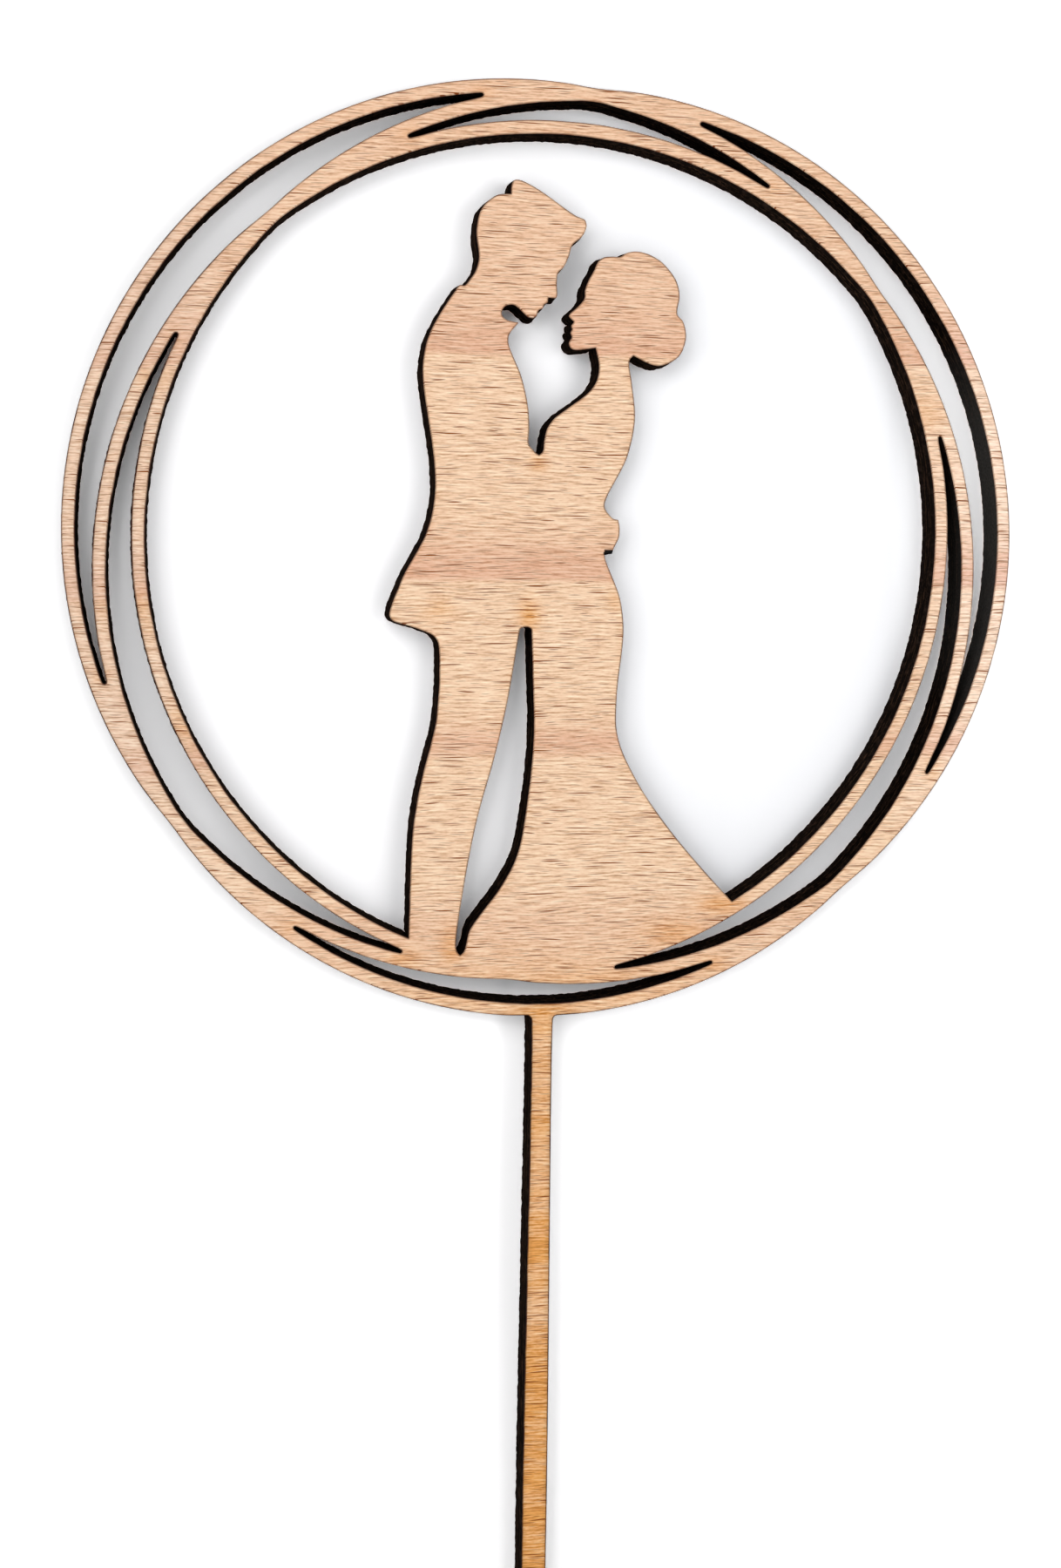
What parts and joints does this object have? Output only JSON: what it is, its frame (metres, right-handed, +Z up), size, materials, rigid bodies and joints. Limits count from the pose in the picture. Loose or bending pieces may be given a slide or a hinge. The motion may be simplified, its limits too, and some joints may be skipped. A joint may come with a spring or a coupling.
{
  "type": "wedding cake topper",
  "caption": "Flat plywood cake topper: a couple facing each other inside a ring of interlaced hoops, on a thin stick that is pushed into a cake.",
  "frame": {"origin": "middle of the stick at its root, where it leaves the underside of the ring", "axes": "+Z up along the stick towards the couple, +Y out of the back face, +X to the right seen from the front"},
  "size_m": [0.1025, 0.004, 0.1795],
  "materials": {
    "beech_face": "matte, sanded, charred at the cut edges",
    "core_wood": "matte, charred where it shows at the cut edges",
    "glue": "cured glue film"
  },
  "bodies": {
    "root": {"front_veneer": "beech_face", "front_glue_line": "glue", "core_veneer": "core_wood", "rear_glue_line": "glue", "back_veneer": "beech_face"}
  },
  "joints": []
}
